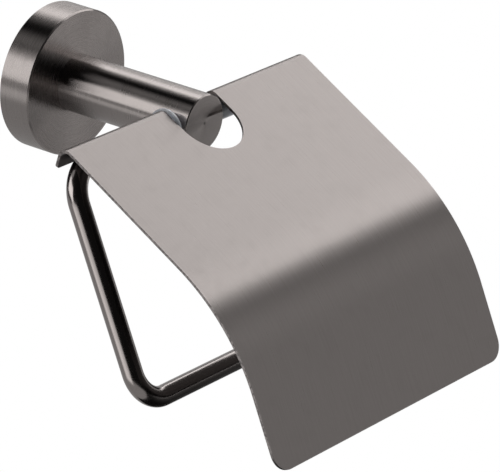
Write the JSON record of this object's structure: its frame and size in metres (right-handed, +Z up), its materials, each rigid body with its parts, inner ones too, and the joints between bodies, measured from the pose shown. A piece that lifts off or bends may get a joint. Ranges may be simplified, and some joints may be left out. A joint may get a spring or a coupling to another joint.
{
  "type": "toilet paper holder",
  "caption": "Wall-mounted toilet paper holder with a round rosette and post, a bent rod arm open at the right and a hinged, folded sheet cover over the roll.",
  "frame": {"origin": "centre of the wall fixing pattern, on the wall, which is also the centre of the rosette's back", "axes": "+Z up, +X to the right seen from the room, the holder reaches out of the wall towards -Y, the post's axis is the Y axis"},
  "size_m": [0.135, 0.16, 0.1118],
  "materials": {
    "gunmetal_sheet": "stainless sheet, brushed across, gunmetal coating",
    "gunmetal_turned": "stainless, turned and brushed round, gunmetal coating",
    "gunmetal_drawn": "stainless bar, brushed round, turned end face, gunmetal coating",
    "gunmetal_rod": "stainless rod, satin polished, gunmetal coating",
    "nylon": "natural milky nylon",
    "wall_plate_steel": "plain turned stainless",
    "plain_screw": "plain stainless",
    "dark_screw": "gunmetal coated stainless grub screw"
  },
  "bodies": {
    "holder": {"wall_plate": "wall_plate_steel", "rosette": "gunmetal_turned", "rosette_grub_screw": "dark_screw", "post_screw": "plain_screw", "post_washer": "plain_screw", "locating_pin": "plain_screw", "post": "gunmetal_drawn", "arm_set_screw": "dark_screw", "arm": "gunmetal_rod"},
    "cover": {"cover_sheet": "gunmetal_sheet", "hinge_clip_left": "nylon", "hinge_clip_right": "nylon"}
  },
  "joints": [
    {"name": "cover_hinge", "type": "hinge", "parent": "holder", "child": "cover", "pos_m": [0, -0.0648, 0], "axis": [-1, 0, 0], "range_deg": [-31, 48]}
  ]
}
